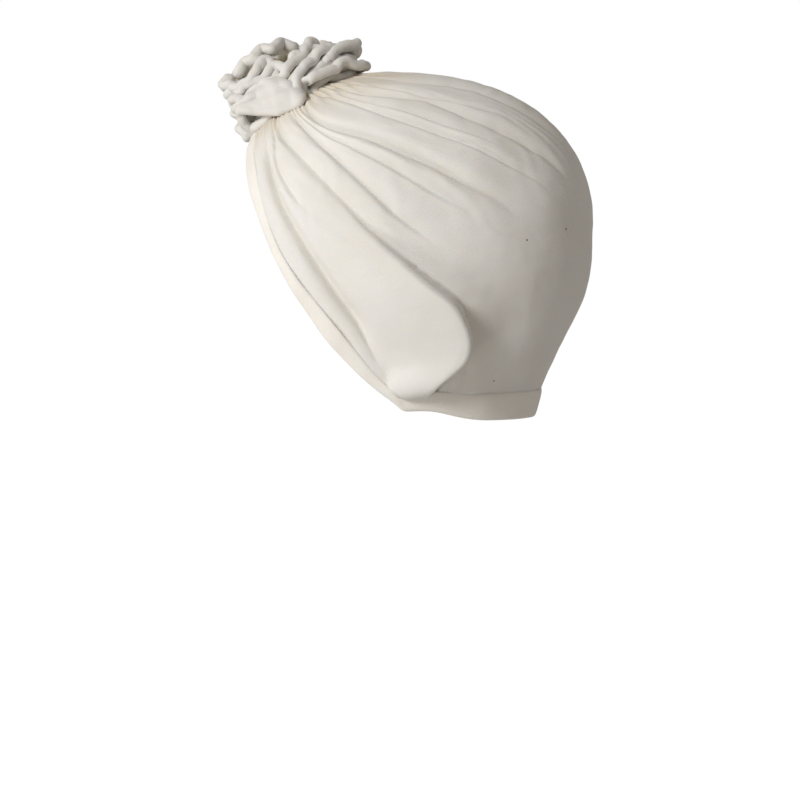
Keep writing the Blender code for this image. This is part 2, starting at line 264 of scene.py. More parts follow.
def cloth_directions(across, along):
    """Directions at places across the fold rows and at shares along them."""
    table = np.array([row[1:] for row in FOLD_LINES], float)
    bearings = np.column_stack([np.zeros(len(table)), table[:, 1::2]])
    rises = np.column_stack([table[:, 0], table[:, 2::2]])
    stations = np.moveaxis(direction(bearings, rises), 0, 1)
    beyond = 2 * stations[-1] - stations[-2]
    beyond[:, 2] = stations[-1, :, 2]
    spokes = curve_through(stations, along * (len(stations) - 1), stations[1] * MIRROR, beyond)
    spokes = np.moveaxis(spokes, 1, 0)
    return unit(curve_through(spokes, across, 2 * spokes[0] - spokes[1], spokes[-2] * MIRROR))


def crease_place(crease, along):
    """The crease's place across the fold lines, at shares of the way to the hem."""
    places = np.array(crease.places, float)
    first, last = 2 * places[0] - places[1], 2 * places[-1] - places[-2]
    return curve_through(places, along * (len(places) - 1), first, last)


def ear_lift(across, along):
    """How far the cloth stands off the form over the ear, rolled over at its rim."""
    foot = crease_place(EAR_CREASE, along)
    front = EAR_FRONT_ROW - EAR_CURL * ease(along, EAR_CURL_FROM, 1.0)
    share = np.clip((across[:, None] - front) / (foot - front), 0, 1)
    rolled = np.clip((share - EAR_ROLL) / (1 - EAR_ROLL), 0, 1)
    ramp = np.where(share < EAR_START, share**2 / (2 * EAR_START), share - EAR_START / 2)
    over = np.minimum(ramp / (EAR_CREST - EAR_START / 2), 1)
    over = over * rounded_fall(rolled, RIM_ROUNDNESS)
    ended = np.clip((along - EAR_CLOSE) / (1 - EAR_CLOSE), 0, 1)
    closed = EAR_AT_HEM + (1 - EAR_AT_HEM) * rounded_fall(ended, END_ROUNDNESS)
    return EAR_HEIGHT * over * ease(along, EAR_BEGIN, EAR_FULL) * closed


def hollow_fall(directions):
    """How far the cloth sinks into the hollow behind the ear."""
    bearing, rise = bearing_and_rise(directions)
    spread = np.where(bearing > HOLLOW_BEARING, HOLLOW_SPREAD_BACK, HOLLOW_SPREAD)
    round_way = (bearing - HOLLOW_BEARING) / spread
    up_way = (rise - HOLLOW_RISE) / HOLLOW_SPREAD
    return HOLLOW_DEPTH * np.exp(-(round_way**2 + up_way**2))


def smooth_cloth(across, along):
    """The left half's outside without its folds."""
    directions = cloth_directions(across, along)
    points = on_form(directions)
    lift = ear_lift(across, along) - hollow_fall(directions)
    return points + form_normal(points) * lift[..., None]


def overhang(across, along):
    """How much further the cloth over the ear runs, as it laps over the band."""
    here = swell(across, *OVERHANG_ROWS)
    return OVERHANG * here[:, None] * ease(along, OVERHANG_FROM, 1.0)


# Unevenness is a sum of so many waves, from so much shorter to so much longer than the
# named length, brought to heights of 1 or so.
WAVES = 28
SHORTEST_WAVE, LONGEST_WAVE = 0.7, 1.6
WAVE_PEAK = 1.6


def soft_unevenness(points, wavelength, seed):
    """A smooth random height from -1 to 1 or so, the same on each run."""
    draw = np.random.default_rng(seed)
    ways = unit(draw.normal(size=(WAVES, 3)))
    lengths = wavelength * draw.uniform(SHORTEST_WAVE, LONGEST_WAVE, WAVES)
    phases = draw.uniform(0, 2 * np.pi, WAVES)
    total = np.zeros(points.shape[:-1])
    for way, length, phase in zip(ways, lengths, phases):
        total += np.cos(points @ way * 2 * np.pi / length + phase)
    return total / np.sqrt(WAVES / 2) / WAVE_PEAK


def crease_section(distance, front, back):
    """Share of a crease's depth at a distance from it: steep in front, slow behind."""
    before = ease(1 + distance / front, 0.0, 1.0)
    behind = np.clip(1 - distance / back, 0.0, 1.0) ** BACK_CURVE
    lip = LIP * np.exp(-(((distance + LIP_PLACE * front) / (LIP_SPREAD * front)) ** 2))
    return np.where(distance < 0, before, behind) - lip


def crease_fall(places, along, row_width):
    """How far the cloth sinks into its creases and the valleys with them."""
    fall = np.zeros(places.shape)
    for crease in CREASES:
        away = places - crease_place(crease, along)
        distance = away * row_width
        front = np.minimum(crease.front * MM, FRONT_SHARE * row_width)
        back = np.minimum(crease.back * MM, BACK_SHARE * row_width)
        share = swell(along, crease.begin, crease.full, crease.fade, crease.end)
        share = share * np.minimum(1, row_width / FULL_ROW)
        valley = crease.valley * np.exp(-((away / VALLEY_SHARE) ** 2))
        fall += share * MM * (crease.depth * crease_section(distance, front, back) + valley)
    return fall


# Pleats of the gathers under the rosette, and long faint pulls further out. Each kind
# begins, is full, starts to fade and ends at shares of the way to the hem.
GATHERS_PER_ROW, GATHER_DEPTH = 2.6, 0.55 * MM
GATHERS_ALONG = (0.01, 0.05, 0.10, 0.27)
PULLS_PER_ROW, PULL_DEPTH = 1.55, 0.16 * MM
PULLS_ALONG = (0.10, 0.25, 0.45, 0.75)
PLEAT_DRIFT, PLEAT_DRIFT_LENGTH = 0.35, 30 * MM


def gather_height(places, along, points):
    """Small pleats that fan out from the gathers and die away."""
    drift = PLEAT_DRIFT * soft_unevenness(points, PLEAT_DRIFT_LENGTH, 5)
    pleat = np.cos(2 * np.pi * (places * GATHERS_PER_ROW + drift))
    pull = np.cos(2 * np.pi * (places * PULLS_PER_ROW + 2 * drift))
    near, far = swell(along, *GATHERS_ALONG), swell(along, *PULLS_ALONG)
    return GATHER_DEPTH * pleat * near + PULL_DEPTH * pull * far


def whole_grid(columns, rows):
    """Vertex numbers for both halves, which share the gathers and the middle line."""
    left = np.arange(columns * rows).reshape(columns, rows)
    right = left.size + np.arange((columns - 1) * (rows - 1)).reshape(columns - 1, rows - 1)
    right = np.column_stack([left[:-1, 0], right])
    return np.concatenate([left, right[::-1]])


def whole_values(half, mirror):
    """The left half's values, then the right half's own ones."""
    width = half.shape[-1]
    return np.concatenate([half.reshape(-1, width), half[:-1, 1:].reshape(-1, width) * mirror])


def grid_faces(grid):
    """Four-sided faces over a grid of vertex numbers, which face out."""
    corners = (grid[:-1, :-1], grid[:-1, 1:], grid[1:, 1:], grid[1:, :-1])
    return np.stack(corners, -1).reshape(-1, 4)


def vertex_normals(points, faces):
    """Smooth normals at the points of a mesh."""
    mesh = bpy.data.meshes.new("normals")
    mesh.from_pydata(points.tolist(), [], faces.tolist())
    normals = np.array([vertex.normal[:] for vertex in mesh.vertices])
    bpy.data.meshes.remove(mesh)
    return normals


def fine_places(along):
    """Places across the folds for every column, which follow the creases."""
    knots = [SEAM_ROW + 0 * along]
    knots += [crease_place(crease, along) for crease in CREASES]
    knots += [MIDDLE_ROW + 0 * along]
    gaps = len(knots) - 1
    step = np.linspace(0, gaps, gaps * COLUMNS_PER_CREASE + 1)
    step = step - CROWDING * np.sin(2 * np.pi * step) / (2 * np.pi)
    index = np.minimum(step.astype(int), gaps - 1)
    share = (step - index)[:, None]
    knots = np.array(knots)
    return knots[index] * (1 - share) + knots[index + 1] * share


def read_across(values, dense, places):
    """Values of a dense grid at other places across it, column by column."""
    columns = zip(places.T, values.T)
    return np.stack([np.interp(place, dense, column) for place, column in columns], 1)


UNEVEN_WIDE, UNEVEN_WIDE_SIZE = 34 * MM, 0.45 * MM
UNEVEN_FINE, UNEVEN_FINE_SIZE = 9 * MM, 0.07 * MM
# The painted warm shade in the pleats of the gathers fades between these shares of the way
# to the hem. On the ridges of the pleats it is weaker.
WARM_SHADE_FULL, WARM_SHADE_END, WARM_SHADE_ON_RIDGES = 0.07, 0.25, 0.3


def wall_faces(grid, count):
    """Faces of a wall whose inside has the outside's points over again, count later."""
    outside = grid_faces(grid)
    rim = np.concatenate([grid[0, :-1], grid[:-1, -1], grid[-1, :0:-1]])
    after = np.roll(rim, -1)
    edge = np.stack([rim, rim + count, after + count, after], -1)
    return np.concatenate([outside, outside[:, ::-1] + count, edge])


def new_piece(name, points, faces):
    """A smooth-shaded mesh object at the origin, its faces turned out."""
    mesh = bpy.data.meshes.new(name)
    mesh.from_pydata(points.tolist(), [], faces.tolist())
    body = bmesh.new()
    body.from_mesh(mesh)
    bmesh.ops.recalc_face_normals(body, faces=body.faces)
    body.to_mesh(mesh)
    body.free()
    mesh.shade_smooth()
    piece = bpy.data.objects.new(name, mesh)
    bpy.context.scene.collection.objects.link(piece)
    return piece


def put_value(piece, name, values):
    """Gives each point of a piece a value that its finish can read."""
    attribute = piece.data.attributes.new(name, "FLOAT", "POINT")
    attribute.data.foreach_set("value", np.asarray(values, np.float32))


def crown_piece():
    """The cap itself: one jersey wall with its folds, open at the face and below."""
    along = np.linspace(0, 1, STEPS_ALONG + 1)
    dense = np.linspace(SEAM_ROW, MIDDLE_ROW, (MIDDLE_ROW - SEAM_ROW) * DENSE_STEPS + 1)
    cloth = smooth_cloth(dense, along)
    cloth += np.gradient(cloth, along, axis=1) * overhang(dense, along)[..., None]
    width = np.linalg.norm(np.gradient(cloth, dense, axis=0), axis=-1)
    steps = np.linalg.norm(np.diff(cloth, axis=1), axis=-1)
    reach = np.concatenate([np.zeros((len(dense), 1)), np.cumsum(steps, axis=1)], axis=1)
    places = fine_places(along)
    half = np.stack([read_across(cloth[..., axis], dense, places) for axis in range(3)], -1)
    row_width = read_across(width, dense, places)
    grid = whole_grid(*places.shape)
    smooth = whole_values(half, MIRROR)
    normals = vertex_normals(smooth, grid_faces(grid))
    fall = crease_fall(places, along, row_width)
    pleats = gather_height(places, along, half)
    relief = pleats - fall
    uneven = UNEVEN_WIDE_SIZE * soft_unevenness(smooth, UNEVEN_WIDE, 3)
    uneven += UNEVEN_FINE_SIZE * soft_unevenness(smooth, UNEVEN_FINE, 4)
    outer = smooth + normals * (uneven[:, None] + whole_values(relief[..., None], 1))
    points = np.concatenate([outer, outer - normals * WALL])
    piece = new_piece("jersey_crown", points, wall_faces(grid, len(outer)))
    grain = read_across(reach, dense, places)
    # Painted shade: the crease value darkens the cloth by how deep its creases sink, and the
    # gathers value paints a warm shade into the sunk pleats near the gathers.
    sunk = np.clip(0.5 - pleats / (2 * GATHER_DEPTH), 0, 1)
    gather_warm_shade = 1 - ease(along, WARM_SHADE_FULL, WARM_SHADE_END)
    gather_warm_shade = gather_warm_shade * (WARM_SHADE_ON_RIDGES + (1 - WARM_SHADE_ON_RIDGES) * sunk)
    for name, values in (("grain", grain), ("crease", fall / MM), ("gathers", gather_warm_shade)):
        put_value(piece, name, np.tile(whole_values(values[..., None], 1)[:, 0], 2))
    return piece


# The band round the opening. It thins and lies flatter where it is narrow, and drops
# below the hem by degrees of rise, more at the back than at the side.
BAND_THICKNESS, BAND_LEAST_THICKNESS, BAND_THICKENING = 2.3 * MM, 0.5 * MM, 0.6
BAND_PROUD, BAND_FLAT_WIDTH, BAND_PROUD_WIDTH = 0.9 * MM, 1.0 * MM, 4 * MM
BAND_TUCK = 0.5 * MM
BAND_UNEVEN, BAND_UNEVEN_SIZE = 22 * MM, 0.35 * MM
BAND_DROP_SIDE, BAND_DROP_BACK = 3.1, 5.2
BAND_SIDE_BEARING, BAND_BACK_BEARING = 84, 122
BAND_SIDES = 28
HEM_STEPS = 110
CORNER_ROUNDS = 24
BAND_SQUARENESS = 3.2


def opening_lines():
    """Stations round the opening: the crown's rim, and the band's outer edge."""
    along = np.linspace(0, 1, STEPS_ALONG + 1)
    front = smooth_cloth(np.array([0.0, SEAM_ROW]), along)
    across = np.linspace(SEAM_ROW, MIDDLE_ROW, HEM_STEPS + 1)[1:]
    ways = cloth_directions(across, np.array([1.0]))[:, 0]
    hem = on_form(ways)
    hem -= form_normal(hem) * hollow_fall(ways)[:, None]
    bearing, rise = bearing_and_rise(ways)
    deeper = ease(bearing, BAND_SIDE_BEARING, BAND_BACK_BEARING)
    drop = BAND_DROP_SIDE + (BAND_DROP_BACK - BAND_DROP_SIDE) * deeper
    low = on_form(direction(bearing, rise - drop))
    rim = np.concatenate([front[1], hem])
    edge = np.concatenate([front[0], low])
    rim = np.concatenate([rim, rim[-2:0:-1] * MIRROR])
    edge = np.concatenate([edge, edge[-2:0:-1] * MIRROR])
    return rim, edge


def round_corners(line):
    """A closed line whose sharp turns are rounded over a few stations."""
    for _ in range(CORNER_ROUNDS):
        line = 0.5 * line + 0.25 * (np.roll(line, 1, 0) + np.roll(line, -1, 0))
    return line


def section_ring(sides, squareness):
    """A rounded oblong section, from -0.5 to 0.5 both ways."""
    angle = (np.arange(sides) + 0.5) * 2 * np.pi / sides
    cosine, sine = np.cos(angle), np.sin(angle)
    size = (np.abs(cosine) ** squareness + np.abs(sine) ** squareness) ** (-1 / squareness)
    return np.column_stack([cosine, sine]) * size[:, None] / 2


def ring_faces(stations, sides):
    """Four-sided faces of a closed tube with a ring of sides at every station."""
    station, side = np.meshgrid(np.arange(stations), np.arange(sides), indexing="ij")
    next_station, next_side = (station + 1) % stations, (side + 1) % sides
    here = (station * sides + side, station * sides + next_side)
    beyond = (next_station * sides + next_side, next_station * sides + side)
    return np.stack(here + beyond, -1).reshape(-1, 4)


def band_piece():
    """The folded jersey band sewn round the whole opening."""
    rim, edge = (round_corners(line) for line in opening_lines())
    width = np.linalg.norm(edge - rim, axis=-1, keepdims=True)
    across = (edge - rim) / width
    out = form_normal((rim + edge) / 2)
    proud = BAND_PROUD * ease(width, BAND_FLAT_WIDTH, BAND_PROUD_WIDTH)
    middle = rim + across * (width - BAND_TUCK) / 2 + out * (proud - BAND_THICKNESS / 2)
    ring = section_ring(BAND_SIDES, BAND_SQUARENESS)
    points = middle[:, None] + across[:, None] * (width + BAND_TUCK)[:, None] * ring[None, :, :1]
    thickness = np.minimum(BAND_THICKNESS, BAND_LEAST_THICKNESS + BAND_THICKENING * width)
    points = points + (out * thickness)[:, None] * ring[None, :, 1:]
    uneven = BAND_UNEVEN_SIZE * soft_unevenness(points, BAND_UNEVEN, 8)
    points = points + out[:, None] * uneven[..., None]
    faces = ring_faces(len(middle), BAND_SIDES)
    piece = new_piece("jersey_edge_band", points.reshape(-1, 3), faces)
    steps = np.linalg.norm(middle - np.roll(middle, 1, 0), axis=-1)
    put_value(piece, "grain", np.repeat(np.cumsum(steps), BAND_SIDES))
    put_value(piece, "crease", np.zeros(len(middle) * BAND_SIDES))
    put_value(piece, "gathers", np.zeros(len(middle) * BAND_SIDES))
    return piece


# The rosette sits at this rise on the form's front, in degrees, and this far off it. Its
# rows keep this height above the crown.
ROSETTE_RISE = 48.6
ROSETTE_LIFT = 0.9 * MM
LEAST_HEIGHT = 1.9 * MM


def rosette_axes():
    """The rosette's centre on the form, and its ways back, left and up."""
    centre = on_form(direction(np.array([0.0]), np.array([ROSETTE_RISE])))[0]
    up = form_normal(centre[None])[0]
    left = np.array([1.0, 0.0, 0.0])
    return centre + ROSETTE_LIFT * up, np.cross(up, left), left, up


def rosette_place(back, left, rise):
    """Points of the rosette, kept clear of the crown."""
    centre, back_way, left_way, up = rosette_axes()
    flat = centre + np.multiply.outer(back, back_way) + np.multiply.outer(left, left_way)
    crown_rise = reach_form(flat - up * DOME_HEIGHT, up + 0 * flat)[:, 0] - DOME_HEIGHT
    return flat + np.maximum(rise, crown_rise + LEAST_HEIGHT)[:, None] * up


# The rows of ruffle. The free edge goes once round from the front over the wearer's
# left: each stop is how far back, left and up it is, and the height that draws the
# cloth up on the way out to it, all in mm.
# The base is the radius of the row's foot, which stands at its rise, in mm. The knee is
# the share of the way out at which the cloth is drawn up towards that height.
Row = namedtuple("Row", "name base base_rise knee stops")
ROWS = (
    Row("outer", 9, 2.0, 0.62, (
        (-28, 0, 2, 2), (-27, 4, -2, 0), (-27, 8, -5, -1), (-24, 12, -4, 0),
        (-25, 16, 2, 5), (-23, 20, 6, 13), (-16, 25, 2, 19), (-8, 29, -4, 22),
        (-1, 33, -8, 21), (3, 34, -10, 18), (5, 29, -6, 9), (6, 23, -2, 5), (9, 24, 1, 4),
        (12, 28, 1, 3), (20, 25, 0, 3), (29, 19, -1, 2), (37, 12, -4, 0), (39, 5, -6, -1),
        (35, 0, -5, -1), (38, -6, -4, 0), (35, -14, -3, 1), (28, -16, -4, 3),
        (29, -23, -3, 3), (20, -25, -2, 4), (15, -21, -2, 6), (10, -28, -1, 6),
        (0, -30, -2, 8), (-3, -24, -1, 9), (-9, -28, 1, 9), (-16, -25, 1, 9),
        (-16, -19, 1, 8), (-22, -18, 3, 8), (-24, -11, 2, 7), (-20, -8, 0, 5),
        (-25, -4, 3, 5),
    )),
    Row("under_outer", 8.5, 1.2, 0.60, (
        (-26, 0, -4, 2), (-25, 5, -6, 1), (-25, 10, -6, 1), (-22, 14, -5, 2),
        (-20, 18, -5, 3), (-14, 21, -4, 5), (-8, 23, -5, 6), (-1, 25, -6, 6),
        (5, 23, -5, 3), (10, 22, -4, 2), (16, 20, -4, 2), (23, 16, -5, 1), (29, 11, -7, 0),
        (32, 4, -8, -1), (31, -4, -8, -1), (29, -11, -7, 0), (23, -17, -6, 0),
        (16, -20, -5, 1), (8, -22, -5, 1), (0, -24, -5, 2), (-8, -22, -4, 3),
        (-15, -20, -3, 3), (-20, -15, -2, 3), (-24, -9, -2, 3), (-25, -4, -3, 3),
    )),
    Row("under_second", 8.2, 2.5, 0.60, (
        (-26, -1, 8, 7), (-24, 4, 6, 6), (-26, 8, 8, 7), (-23, 12, 6, 7), (-24, 17, 8, 9),
        (-18, 20, 8, 12), (-10, 21, 8, 14), (-3, 21, 6, 14), (3, 22, 3, 11), (8, 20, 4, 8),
        (13, 22, 4, 8), (20, 19, 5, 9), (27, 15, 4, 8), (33, 9, 2, 7), (35, 3, 0, 5),
        (33, -4, 0, 5), (33, -10, 1, 6), (26, -14, 1, 7), (23, -19, 2, 8), (15, -20, 2, 9),
        (9, -23, 2, 9), (1, -25, 3, 9), (-6, -23, 3, 9), (-12, -22, 5, 9), (-18, -18, 5, 8),
        (-22, -12, 7, 8), (-24, -6, 7, 7),
    )),
    Row("second", 7.5, 3.0, 0.60, (
        (-24, 1, 13, 9), (-22, 5, 10, 9), (-24, 9, 13, 10), (-21, 12, 10, 9),
        (-23, 16, 13, 12), (-18, 18, 12, 12), (-11, 19, 12, 13), (-5, 20, 11, 13),
        (1, 24, 5, 11), (3, 28, -2, 9), (6, 29, 1, 9), (9, 26, 5, 11), (14, 23, 7, 12),
        (19, 20, 9, 13), (27, 15, 10, 13), (31, 10, 9, 12), (29, 7, 5, 9), (22, 14, 4, 8),
        (24, 18, 5, 8), (29, 15, 7, 9), (36, 10, 6, 8), (41, 4, 5, 7), (38, -1, 3, 6),
        (40, -6, 4, 7), (34, -12, 7, 9), (28, -12, 4, 8), (27, -19, 6, 9), (20, -22, 7, 9),
        (13, -18, 5, 9), (8, -25, 6, 10), (-1, -25, 7, 10), (-6, -20, 6, 10),
        (-12, -24, 8, 10), (-17, -20, 9, 9), (-17, -14, 8, 8), (-22, -12, 11, 9),
        (-22, -6, 10, 8), (-19, -3, 9, 8),
    )),
    Row("under_third", 6.8, 3.8, 0.55, (
        (-24, 0, 18, 12), (-22, 4, 15, 11), (-23, 8, 18, 12), (-20, 12, 16, 12),
        (-18, 16, 15, 13), (-12, 18, 15, 14), (-5, 18, 15, 14), (2, 17, 15, 13),
        (7, 18, 13, 12), (12, 15, 16, 13), (17, 13, 14, 13), (22, 10, 14, 12),
        (27, 8, 12, 12), (29, 3, 11, 11), (28, -3, 10, 11), (30, -8, 11, 11),
        (24, -12, 11, 11), (22, -16, 11, 11), (15, -19, 11, 12), (9, -19, 12, 12),
        (2, -21, 12, 12), (-6, -19, 12, 12), (-12, -19, 13, 12), (-17, -15, 14, 12),
        (-20, -9, 15, 12), (-22, -5, 16, 12),
    )),
    Row("third", 6, 4.5, 0.50, (
        (-24, 1, 23, 15), (-20, 4, 24, 16), (-23, 8, 22, 15), (-20, 11, 20, 15),
        (-19, 14, 19, 15), (-12, 17, 18, 15), (-6, 17, 19, 15), (0, 14, 21, 16),
        (1, 15, 15, 14), (1, 21, 9, 11), (6, 22, 11, 12), (12, 18, 13, 14),
        (18, 13, 16, 15), (22, 9, 17, 15), (24, 5, 16, 14), (22, 1, 15, 13),
        (27, -2, 15, 13), (26, -7, 15, 13), (21, -7, 17, 14), (20, -13, 18, 14),
        (13, -17, 20, 15), (9, -12, 20, 15), (4, -18, 21, 16), (-4, -18, 20, 15),
        (-6, -13, 18, 14), (-12, -16, 18, 14), (-17, -12, 19, 14), (-15, -7, 17, 13),
        (-21, -6, 21, 14),
    )),
    Row("heart", 3.5, 6.0, 0.50, (
        (-15, 1, 24, 18), (-13, 4, 23, 17), (-14, 8, 24, 17), (-9, 9, 26, 18),
        (-4, 12, 25, 18), (1, 9, 27, 19), (5, 11, 24, 18), (9, 7, 25, 18), (11, 3, 25, 18),
        (14, 2, 21, 17), (14, -4, 21, 17), (9, -5, 20, 17), (9, -10, 21, 17),
        (3, -13, 24, 18), (1, -8, 22, 18), (-4, -11, 24, 18), (-11, -11, 24, 17),
        (-11, -5, 22, 17), (-15, -4, 24, 17),
    )),
    Row("bud", 1.5, 8.0, 0.55, (
        (-8, 1, 26, 19), (-4, 3, 25, 18), (-2, 6, 26, 19), (2, 3, 27, 19), (5, 4, 25, 18),
        (6, -1, 25, 18), (3, -2, 23, 17), (1, -6, 25, 18), (-4, -4, 24, 18),
        (-6, -2, 24, 18),
    )),
)
# Stations round a row, steps up it, and finer steps in which its edge is measured.
RUFFLE_STATIONS = 520
RUFFLE_STEPS = 24
FINE_STEPS = 8
BASE_SMOOTHING = 0.09
NORMAL_ROUNDS = 4
# Small pleats at the foot of each row, which fade out upwards, and unevenness.
PLEATS, PLEAT_DEPTH = 34, 0.6 * MM
PLEAT_FADE, PLEAT_RISE = 1.2, 0.5
RUFFLE_WIDE, RUFFLE_WIDE_SIZE = 12 * MM, 1.1 * MM
RUFFLE_FINE, RUFFLE_FINE_SIZE = 5 * MM, 0.3 * MM
# The doubled cloth swells from its flat half thickness to the roll at its free edge. It
# does so a little sooner, and to a thinner roll, where it lies at the front.
RUFFLE_HALF, ROLL_HALF, FRONT_ROLL = 0.9 * MM, 2.4 * MM, 0.92
ROLL_BEGIN, ROLL_BEGIN_FRONT, ROLL_FULL = 0.25, 0.2, 0.97
ROLL_FRONT, ROLL_BACK = -18 * MM, 4 * MM
ROLL_STEPS = 9
# The line of the hem, sunk in on both sides of the frill.
HEM_GROOVE, HEM_PLACE, HEM_WIDTH = 1.6 * MM, 0.8, 0.05
# The painted warm shade of the depths fades up a row between these shares of its height.
WARM_SHADE_FROM, WARM_SHADE_TO, WARM_SHADE_TO_OUTER = 0.2, 1.0, 0.65
# The length that the ribs are counted over, up each side of a frill.
RIB_LENGTH = 20 * MM


def closed_curve(points, count):
    """A smooth closed curve through points, at evenly spaced places along it.

    Its knots go by the square root of the gaps, which keeps tight turns from looping.
    """
    gaps = np.linalg.norm(np.roll(points, -1, 0) - points, axis=1) ** 0.5
    knots = np.concatenate([[0], np.cumsum(gaps)])
    total = knots[-1]
    wrapped = np.concatenate([points[-2:], points, points[:3]])
    times = np.concatenate([knots[-3:-1] - total, knots[:-1], knots[:3] + total])
    fine = np.linspace(0, total, count * FINE_STEPS, endpoint=False)
    index = np.searchsorted(times, fine, side="right") - 1
    p = [wrapped[index + step] for step in (-1, 0, 1, 2)]
    t = [times[index + step][:, None] for step in (-1, 0, 1, 2)]
    now = fine[:, None]

    def between(a, b, start, stop):
        return (a * (stop - now) + b * (now - start)) / (stop - start)

    first = [between(p[k], p[k + 1], t[k], t[k + 1]) for k in range(3)]
    second = [between(first[k], first[k + 1], t[k], t[k + 2]) for k in range(2)]
    curve = between(second[0], second[1], t[1], t[2])
    steps = np.linalg.norm(np.roll(curve, -1, 0) - curve, axis=1)
    length = np.concatenate([[0], np.cumsum(steps)])
    wanted = np.linspace(0, length[-1], count, endpoint=False)
    closed = np.concatenate([curve, curve[:1]])
    return np.stack([np.interp(wanted, length, values) for values in closed.T], -1)


def round_smoothing(values, share):
    """Values round a ring, smoothed over a share of it."""
    count = len(values)
    away = np.minimum(np.arange(count), count - np.arange(count)) / count
    weights = np.exp(-((away / share) ** 2))
    spectrum = np.fft.rfft(values) * np.fft.rfft(weights / weights.sum())
    return np.fft.irfft(spectrum, count)


def base_angles(back, left):
    """Angles round the foot of a row, which go round once under its free edge."""
    angle = np.unwrap(np.arctan2(left, -back))
    even = angle[0] + np.arange(len(angle)) * 2 * np.pi / len(angle)
    return even + round_smoothing(angle - even, BASE_SMOOTHING)


def ring_normals(sheet):
    """Normals of a sheet that closes round its first axis, towards its middle."""
    round_way = np.roll(sheet, -1, 0) - np.roll(sheet, 1, 0)
    normals = unit(np.cross(np.gradient(sheet, axis=1), round_way))
    for _ in range(NORMAL_ROUNDS):
        normals = unit(2 * normals + np.roll(normals, 1, 0) + np.roll(normals, -1, 0))
    return normals


def ruffle_sheet(row):
    """The middle of a row of frill, and how far back each station of its edge lies."""
    back, left, rise, crest = closed_curve(np.array(row.stops, float), RUFFLE_STATIONS).T * MM
    angle = base_angles(back, left)
    base_back, base_left = -np.cos(angle) * row.base * MM, np.sin(angle) * row.base * MM
    base = rosette_place(base_back, base_left, np.full(RUFFLE_STATIONS, row.base_rise * MM))
    knee_back = base_back + row.knee * (back - base_back)
    knee_left = base_left + row.knee * (left - base_left)
    knee = rosette_place(knee_back, knee_left, crest)
    edge = rosette_place(back, left, rise)
    up = np.linspace(0, 1, RUFFLE_STEPS + 1)
    share = up[:, None]
    sheet = (1 - share) ** 2 * base[:, None] + 2 * share * (1 - share) * knee[:, None]
    sheet = sheet + share**2 * edge[:, None]
    pleat = np.sin(angle * PLEATS)[:, None] * (1 - up) ** PLEAT_FADE * up**PLEAT_RISE
    wide = soft_unevenness(sheet, RUFFLE_WIDE, 20 + len(row.name))
    fine = soft_unevenness(sheet, RUFFLE_FINE, 40 + len(row.name))
    uneven = (RUFFLE_WIDE_SIZE * wide + RUFFLE_FINE_SIZE * fine) * up
    return sheet + ring_normals(sheet) * (PLEAT_DEPTH * pleat + uneven)[..., None], back


def ruffle_piece(row):
    """One row of doubled jersey frill, folded over at its free edge."""
    sheet, back = ruffle_sheet(row)
    up = np.linspace(0, 1, RUFFLE_STEPS + 1)
    behind = ease(back, ROLL_FRONT, ROLL_BACK)[:, None]
    roll_half = ROLL_HALF * (FRONT_ROLL + (1 - FRONT_ROLL) * behind)
    roll_begin = ROLL_BEGIN_FRONT + (ROLL_BEGIN - ROLL_BEGIN_FRONT) * behind
    half = RUFFLE_HALF + (roll_half - RUFFLE_HALF) * ease(up, roll_begin, ROLL_FULL)
    half -= HEM_GROOVE * np.exp(-(((up - HEM_PLACE) / HEM_WIDTH) ** 2))
    normals = ring_normals(sheet)
    half = normals * half[..., None]
    tangent = unit(sheet[:, -1:] - sheet[:, -2:-1])
    turn = np.linspace(0, np.pi, ROLL_STEPS + 2)[1:-1]
    roll = sheet[:, -1:] - half[:, -1:] * np.cos(turn)[None, :, None]
    roll = roll + tangent * (roll_half * np.sin(turn))[..., None]
    section = np.concatenate([sheet - half, roll, (sheet + half)[:, ::-1]], axis=1)
    faces = ring_faces(*section.shape[:2])
    piece = new_piece("jersey_ruffle_" + row.name, section.reshape(-1, 3), faces)
    # The gathers value of a ruffle row is its painted warm shade, strongest at the foot.
    heights = np.concatenate([up, np.ones(ROLL_STEPS), up[::-1]])
    warm_shade_to = WARM_SHADE_TO_OUTER if row.name == "outer" else WARM_SHADE_TO
    depth_warm_shade = 1 - ease(heights, WARM_SHADE_FROM, warm_shade_to)
    values = (("grain", heights * RIB_LENGTH), ("crease", 0 * heights), ("gathers", depth_warm_shade))
    for name, value in values:
        put_value(piece, name, np.tile(value, RUFFLE_STATIONS))
    return piece


# Finishes. Colours are linear.
CREAM = (0.80, 0.785, 0.755)
# SHADED_CREAM is the darker tone of the uneven patches and the painted shade in the creases.
SHADED_CREAM = (0.74, 0.71, 0.655)
# Painted warm shade in the sunk pleats of the gathers.
GATHER_PAINTED_SHADE = (0.64, 0.51, 0.31)
# The band's cream is painted lighter than the crown's: painted light that brightens the band.
BAND_BRIGHTENED_CREAM = (0.90, 0.87, 0.82)
RUFFLE_CREAM = (0.735, 0.725, 0.70)
RUFFLE_SHADE = (0.67, 0.645, 0.60)
# Painted warm shade at the foot of each ruffle row, under the rows above.
RUFFLE_PAINTED_DEPTH_SHADE = (0.64, 0.55, 0.31)
CLOTH = {
    "Roughness": 0.92,
    "Specular IOR Level": 0.25,
    "Sheen Weight": 0.12,
    "Sheen Roughness": 0.6,
    "Subsurface Weight": 0.25,
    "Subsurface Radius": (1.0, 0.75, 0.5),
    "Subsurface Scale": 2.5 * MM,
}
